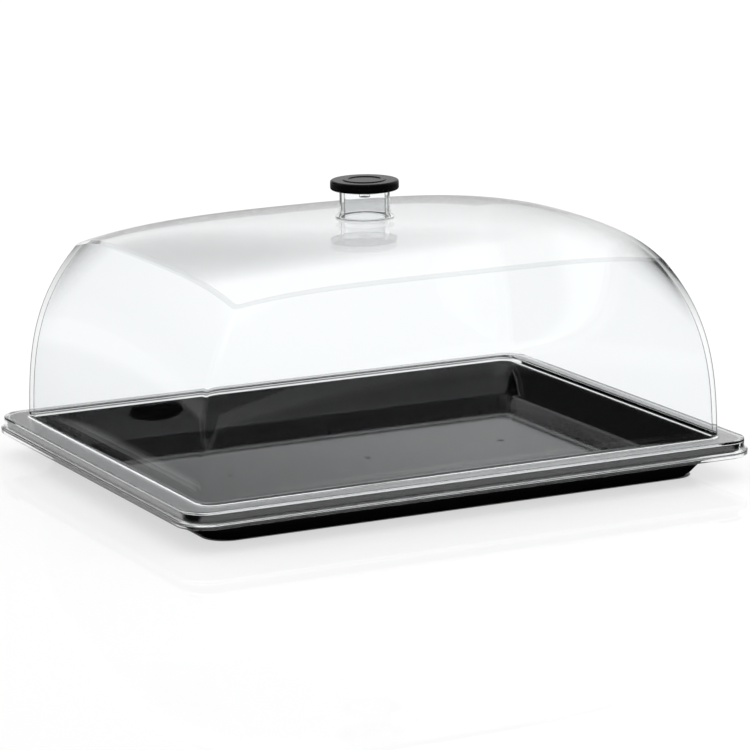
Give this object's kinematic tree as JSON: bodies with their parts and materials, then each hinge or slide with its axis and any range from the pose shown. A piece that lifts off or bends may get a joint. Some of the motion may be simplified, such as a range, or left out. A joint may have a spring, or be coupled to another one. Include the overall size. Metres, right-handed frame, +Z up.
{
  "type": "covered tray with a clear dome",
  "caption": "Shallow black rectangular tray with a lip, under a tall clear crowned dome whose skirt drops round the lip, lifted by a disc knob on a clear collar",
  "frame": {"origin": "centre of the tray's resting face", "axes": "+X along the tray's length, +Y along its width, +Z up through the knob"},
  "size_m": [0.4046, 0.3246, 0.1924],
  "materials": {
    "tray_black": "glossy black moulded plastic, finely textured floor",
    "clear_cover": "water-clear polished plastic with a faint cool tint",
    "clear_collar": "water-clear polished plastic",
    "knob_black": "satin-gloss black moulded plastic"
  },
  "bodies": {
    "tray": {"tray": "tray_black"},
    "dome": {"dome_cover": "clear_cover", "knob_collar": "clear_collar", "knob_cap": "knob_black"}
  },
  "joints": [
    {"name": "dome_lift", "type": "slide", "parent": "tray", "child": "dome", "axis": [0, 0, 1], "range_m": [0, 0.2]}
  ]
}
